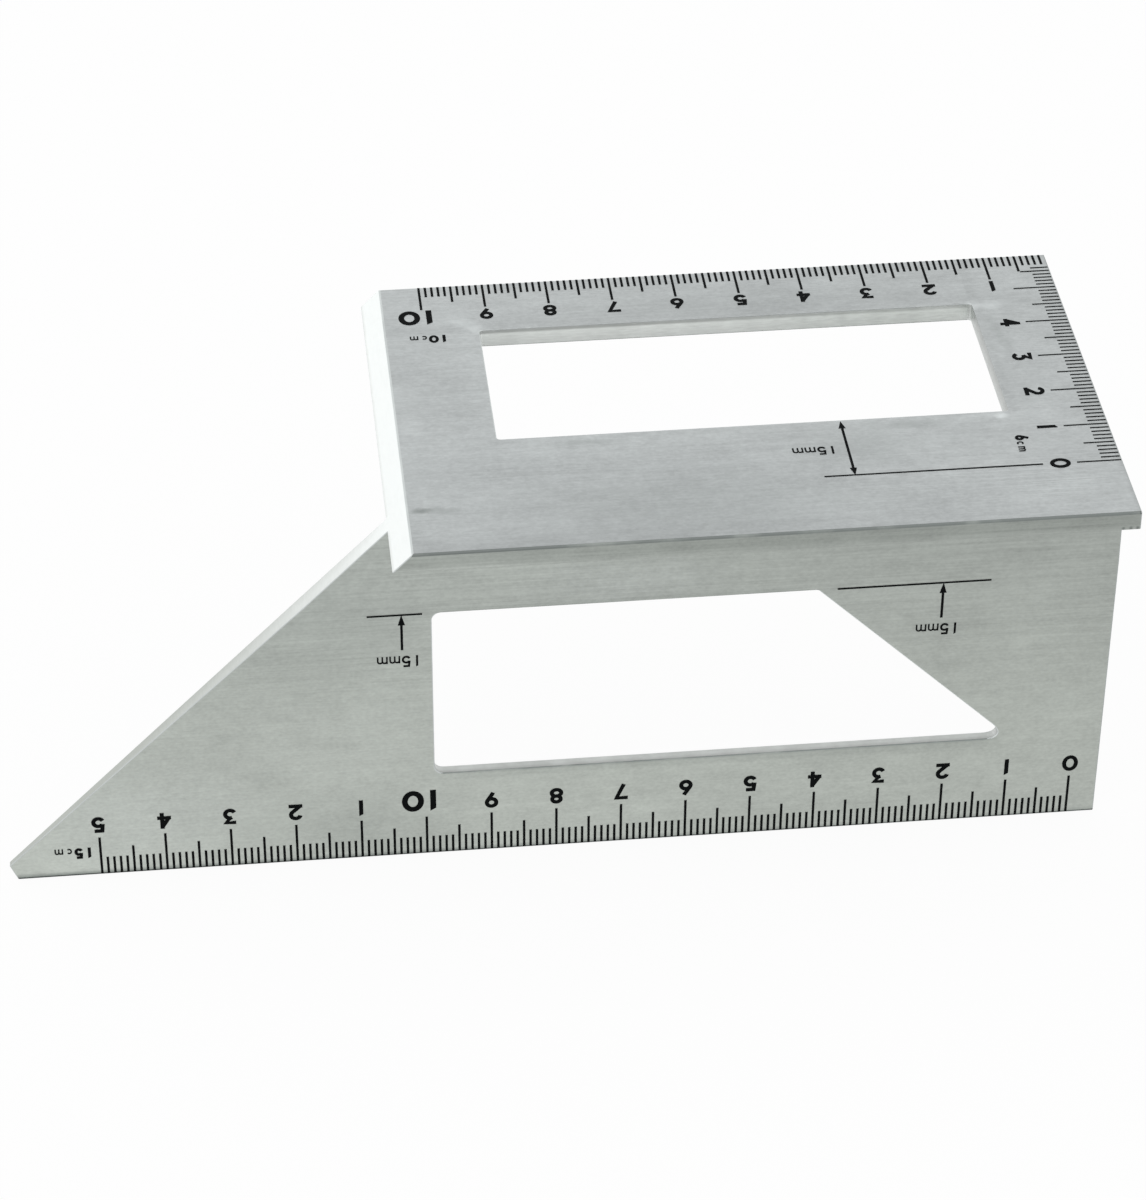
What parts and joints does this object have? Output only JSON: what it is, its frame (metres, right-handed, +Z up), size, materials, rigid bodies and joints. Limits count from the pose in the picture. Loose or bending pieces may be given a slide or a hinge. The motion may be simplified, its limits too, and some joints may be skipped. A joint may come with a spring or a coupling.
{
  "type": "three-dimensional square",
  "caption": "Marking square of T section with printed scales, a window in each face and a slanted end, for carrying lines round the corner of a board.",
  "frame": {"origin": "inner corner at the right end, where the underside of the top plate meets the rear face of the fence", "axes": "+X to the right along the inner corner, +Y back under the plate and square to the rear face of the fence, +Z up and square to the plate"},
  "size_m": [0.1684, 0.074, 0.065],
  "materials": {
    "metal": "fine brushed along the section, satin anodised",
    "ink": "printed black"
  },
  "bodies": {
    "root": {"body": "metal", "fence_single_lines": "ink", "fence_fifth_lines": "ink", "fence_tenth_lines": "ink", "fence_numerals": "ink", "fence_scale_label": "ink", "fence_left_gauge_mark": "ink", "fence_left_gauge_label": "ink", "fence_right_gauge_mark": "ink", "fence_right_gauge_label": "ink", "back_single_lines": "ink", "back_fifth_lines": "ink", "back_tenth_lines": "ink", "back_numerals": "ink", "back_scale_label": "ink", "side_single_lines": "ink", "side_fifth_lines": "ink", "side_tenth_lines": "ink", "side_numerals": "ink", "side_scale_label": "ink", "plate_gauge_mark": "ink", "plate_gauge_label": "ink"}
  },
  "joints": []
}
